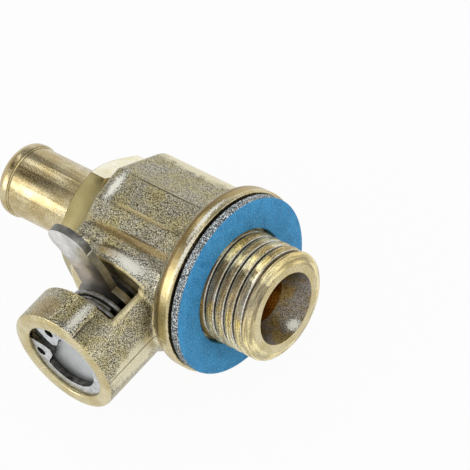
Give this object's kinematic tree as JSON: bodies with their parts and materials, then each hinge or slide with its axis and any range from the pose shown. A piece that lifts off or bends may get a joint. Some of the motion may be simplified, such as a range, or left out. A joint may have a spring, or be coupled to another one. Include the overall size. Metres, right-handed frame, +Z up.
{
  "type": "oil drain valve",
  "caption": "Brass ball valve for an oil sump: threaded spigot with sealing washer, side boss with a locking hand lever, and a hose nipple at the back.",
  "frame": {"origin": "on the thread's axis, in the plane where the sealing washer meets the sump", "axes": "+X along the thread towards its tip, -Y along the side boss with the lever, +Z up, the way the closed lever points"},
  "size_m": [0.0425, 0.0317, 0.0257],
  "materials": {
    "forged_brass": "forged and tumbled, pale gold with a fine grain",
    "turned_brass": "turned, satin pale gold",
    "washer_blue": "matt blue facing on a grey fibre core",
    "black_rubber": "matt black",
    "white_seat": "waxy white",
    "polished_ball": "polished",
    "stem_steel": "turned",
    "lever_steel": "stamped, dull grey",
    "spring_steel": "drawn wire",
    "disc_steel": "plain rolled",
    "clip_steel": "stamped, light grey"
  },
  "bodies": {
    "valve_body": {"body": "forged_brass", "gasket": "washer_blue", "end_connector": "turned_brass", "connector_seal": "black_rubber", "front_seat": "white_seat", "rear_seat": "white_seat", "thrust_washer": "white_seat", "cover_disc": "disc_steel", "circlip": "clip_steel"},
    "turning_stem": {"stem": "stem_steel", "ball": "polished_ball", "stem_o_ring_inner": "black_rubber", "stem_o_ring_outer": "black_rubber"},
    "hand_lever": {"lever": "lever_steel", "spring": "spring_steel"}
  },
  "joints": [
    {"name": "valve_turn", "type": "hinge", "parent": "valve_body", "child": "turning_stem", "pos_m": [-0.0111, 0, 0], "axis": [0, -1, 0], "range_deg": [-15, 75]},
    {"name": "lever_lift", "type": "slide", "parent": "turning_stem", "child": "hand_lever", "axis": [0, -1, 0], "range_m": [-0.0006, 0], "stiffness_N_per_m": 600, "springref_m": -0.002, "deforming": ["spring"]}
  ]
}
